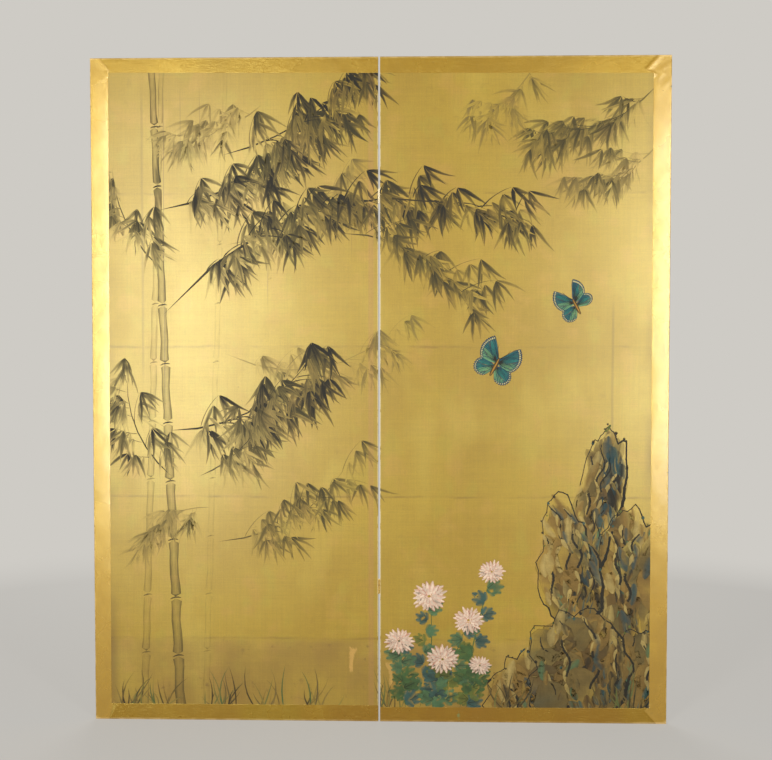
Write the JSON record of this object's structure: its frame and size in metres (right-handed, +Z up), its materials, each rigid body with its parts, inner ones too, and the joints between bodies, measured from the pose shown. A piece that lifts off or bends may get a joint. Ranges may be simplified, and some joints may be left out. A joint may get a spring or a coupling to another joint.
{
  "type": "folding screen",
  "caption": "Tall two-panel folding screen with a gilt painted front, cloth borders wrapped over the edges and brass butt hinges.",
  "frame": {"origin": "on the floor under the middle of the opened screen, midway between the hinge barrels and the back paper", "axes": "+Z up; +X to the viewer's right along the width of the two panels; the painted front faces -Y"},
  "size_m": [1.49, 0.0244, 1.72],
  "materials": {
    "gold_silk": "fine silk with a satin gold wash and painting",
    "border_cloth": "plain gold cloth with a soft sheen, worn at the corners",
    "facing_paper": "matt buff facing paper",
    "lining_paper": "matt handmade paper, toned with age",
    "cedar_wood": "planed cedar, unfinished",
    "bamboo": "split bamboo, unfinished",
    "brass": "worn brass, bright on the barrels",
    "brass_screw": "dull brass"
  },
  "bodies": {
    "left_panel": {"left_hinge_stile": "cedar_wood", "left_outer_stile": "cedar_wood", "left_top_rail": "cedar_wood", "left_bottom_rail": "cedar_wood", "left_corner_boards": "cedar_wood", "left_lattice_uprights": "cedar_wood", "left_lattice_bars": "cedar_wood", "left_frame_pegs": "bamboo", "left_front_underpaper": "lining_paper", "left_back_underpaper": "lining_paper", "left_edge_strip": "lining_paper", "left_painted_silk": "gold_silk", "left_back_paper": "facing_paper", "left_top_border": "border_cloth", "left_side_border": "border_cloth", "left_bottom_border": "border_cloth", "left_hinge_screws": "brass_screw", "upper_hinge_left_leaf": "brass", "upper_hinge_pin": "brass", "lower_hinge_left_leaf": "brass", "lower_hinge_pin": "brass"},
    "right_panel": {"right_hinge_stile": "cedar_wood", "right_outer_stile": "cedar_wood", "right_top_rail": "cedar_wood", "right_bottom_rail": "cedar_wood", "right_corner_boards": "cedar_wood", "right_lattice_uprights": "cedar_wood", "right_lattice_bars": "cedar_wood", "right_frame_pegs": "bamboo", "right_front_underpaper": "lining_paper", "right_back_underpaper": "lining_paper", "right_edge_strip": "lining_paper", "right_painted_silk": "gold_silk", "right_back_paper": "facing_paper", "right_top_border": "border_cloth", "right_side_border": "border_cloth", "right_bottom_border": "border_cloth", "right_hinge_screws": "brass_screw", "upper_hinge_right_leaf": "brass", "lower_hinge_right_leaf": "brass"}
  },
  "joints": [
    {"name": "panel_fold", "type": "hinge", "parent": "left_panel", "child": "right_panel", "pos_m": [0, -0.01, 0.86], "axis": [0, 0, -1], "range_deg": [-6.5, 180]}
  ]
}
